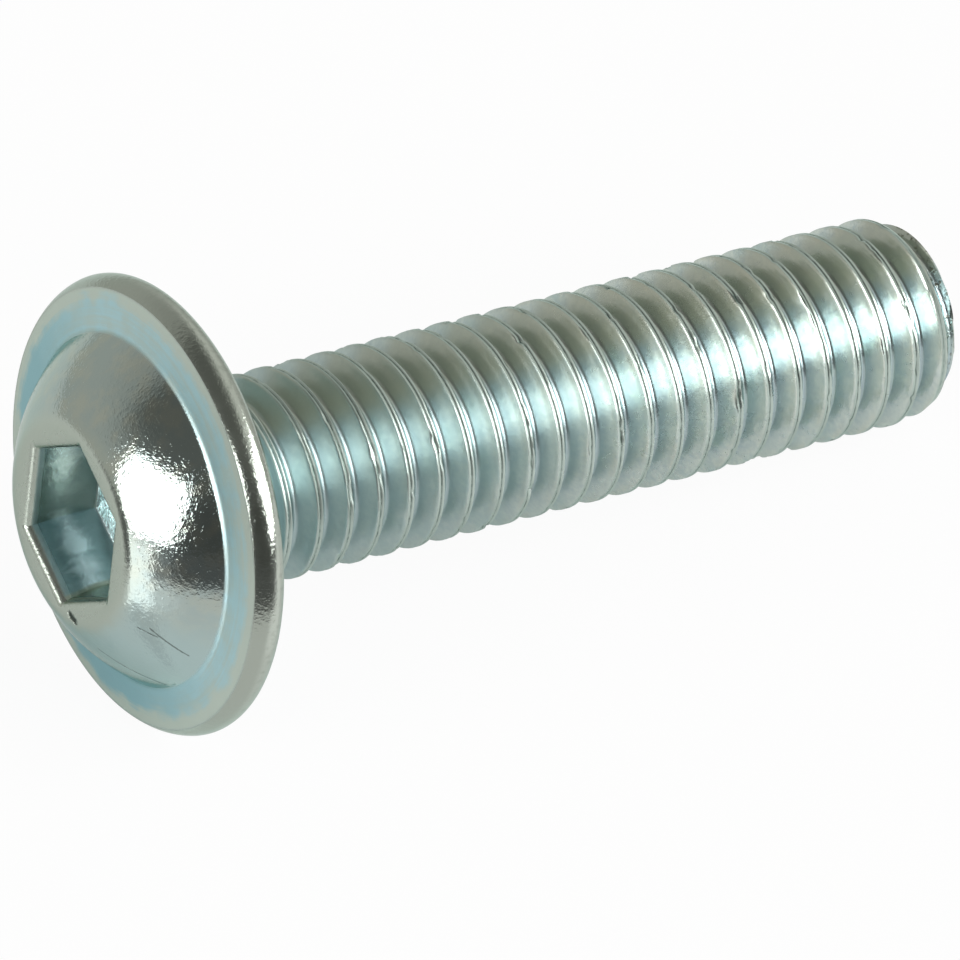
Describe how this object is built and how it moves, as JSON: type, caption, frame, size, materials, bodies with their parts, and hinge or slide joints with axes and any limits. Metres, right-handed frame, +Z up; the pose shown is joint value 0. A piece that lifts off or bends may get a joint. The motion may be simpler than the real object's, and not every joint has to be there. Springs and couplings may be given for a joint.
{
  "type": "flanged button head screw",
  "caption": "Machine screw with a low domed head on a round flange, a hexagon drive socket and a fully threaded shank, lying on its side at rest.",
  "frame": {"origin": "on the table, under the middle of the screw's bounding box as it lies at rest", "axes": "+X runs from the head towards the tip along the table, +Z up; the screw's own axis lies in the XZ plane and slopes down to the tip by 8.48 degrees"},
  "size_m": [0.0284, 0.0132, 0.013],
  "materials": {
    "zinc_plated_steel": "gloss"
  },
  "bodies": {
    "root": {"screw": "zinc_plated_steel"}
  },
  "joints": []
}
